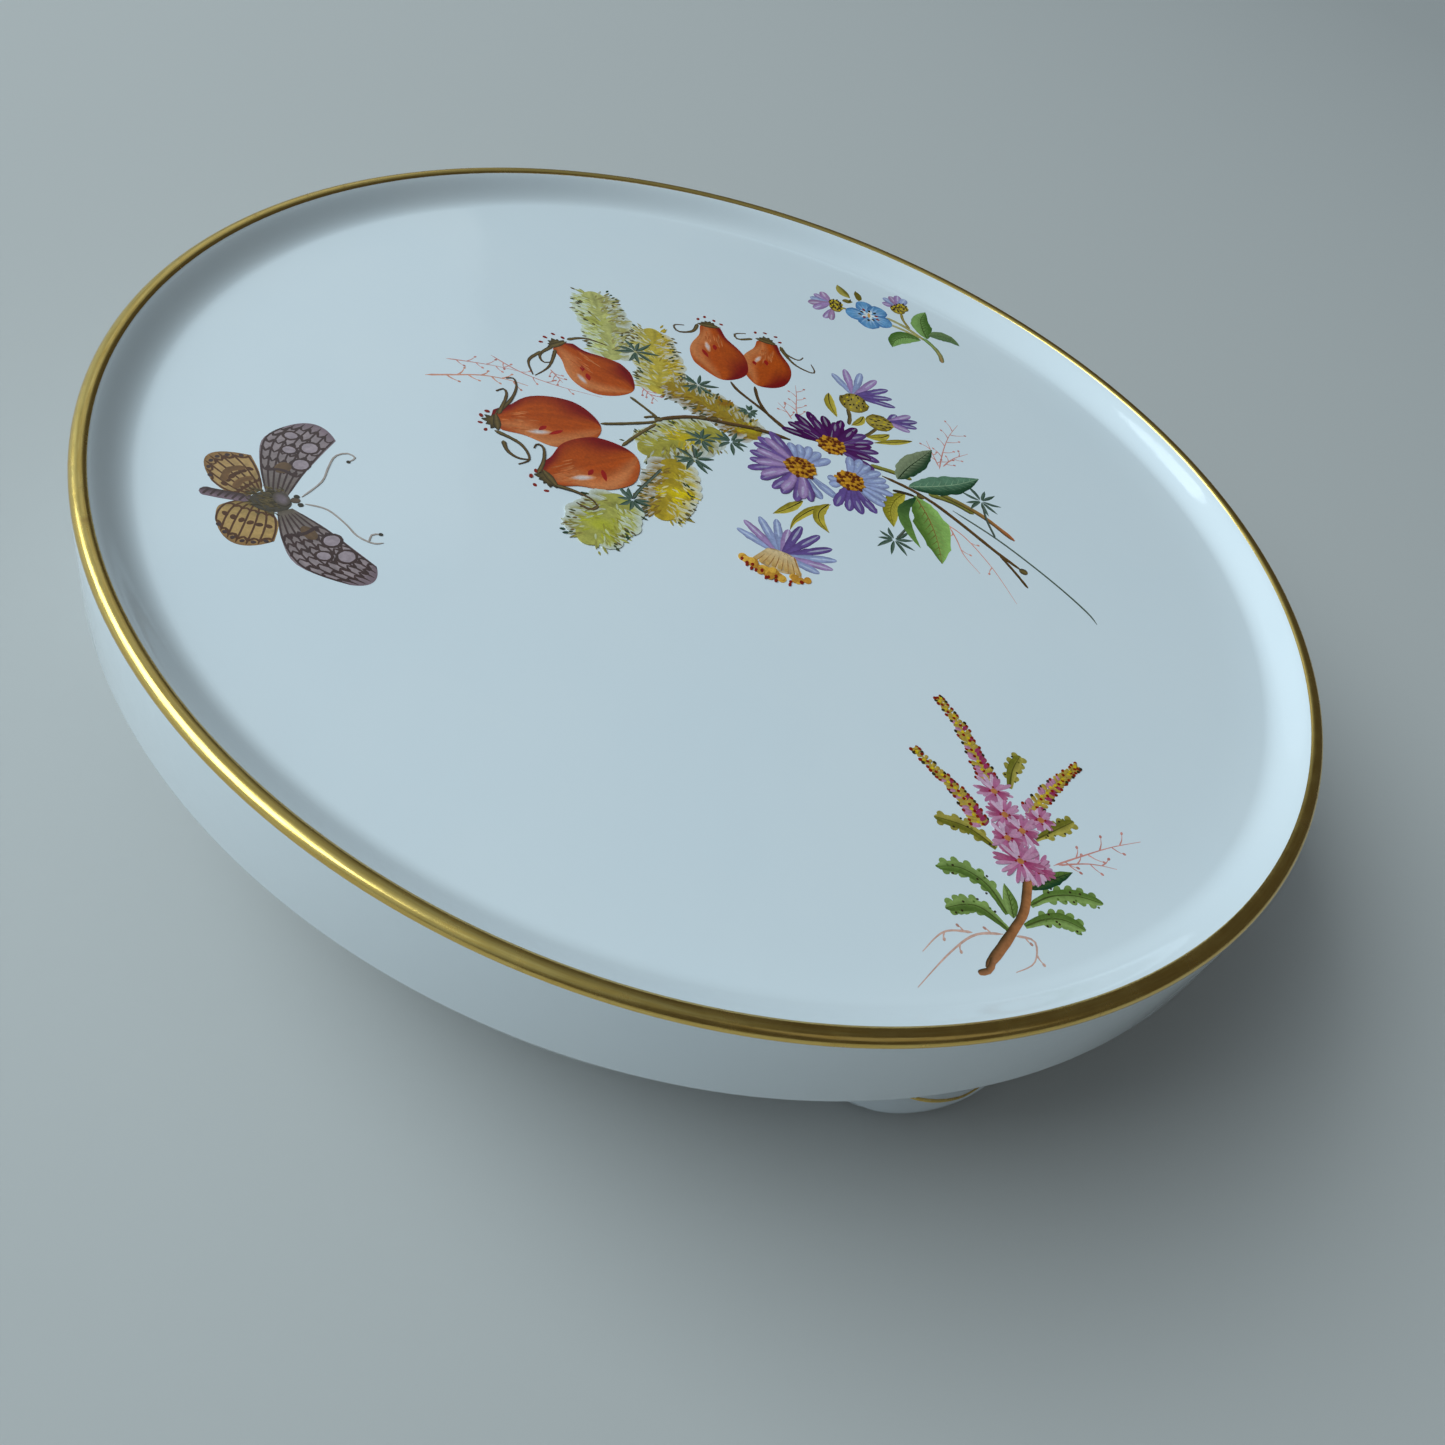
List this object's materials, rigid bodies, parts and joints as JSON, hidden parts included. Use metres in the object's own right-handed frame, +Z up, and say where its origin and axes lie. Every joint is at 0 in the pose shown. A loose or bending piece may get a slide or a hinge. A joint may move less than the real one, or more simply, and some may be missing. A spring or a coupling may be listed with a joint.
{
  "type": "porcelain trinket box",
  "caption": "Round porcelain box with a gilt-lipped tray-like lid that lifts straight off a shallow rounded body on scroll feet.",
  "frame": {"origin": "on the standing plane, under the centre of the lid", "axes": "+Z up, along the lid's lift; -Y towards the viewer; one foot stands to the right of the front, and the other two a third of a turn from it"},
  "size_m": [0.195, 0.195, 0.047],
  "materials": {
    "lid_porcelain": "clear gloss glaze over hard white porcelain",
    "body_porcelain": "clear gloss glaze over hard white porcelain",
    "foot_porcelain": "clear gloss glaze over hard white porcelain",
    "rim_gold": "burnished fired gold",
    "foot_gold": "burnished fired gold"
  },
  "bodies": {
    "box": {"box_body": "body_porcelain", "foot_front": "foot_porcelain", "foot_right": "foot_porcelain", "foot_left": "foot_porcelain", "foot_front_gilding": "foot_gold", "foot_right_gilding": "foot_gold", "foot_left_gilding": "foot_gold"},
    "lid": {"lid": "lid_porcelain", "lid_rim_gilding": "rim_gold"}
  },
  "joints": [
    {"name": "lid_lift", "type": "slide", "parent": "box", "child": "lid", "axis": [0, 0, 1], "range_m": [0, 0.06]}
  ]
}
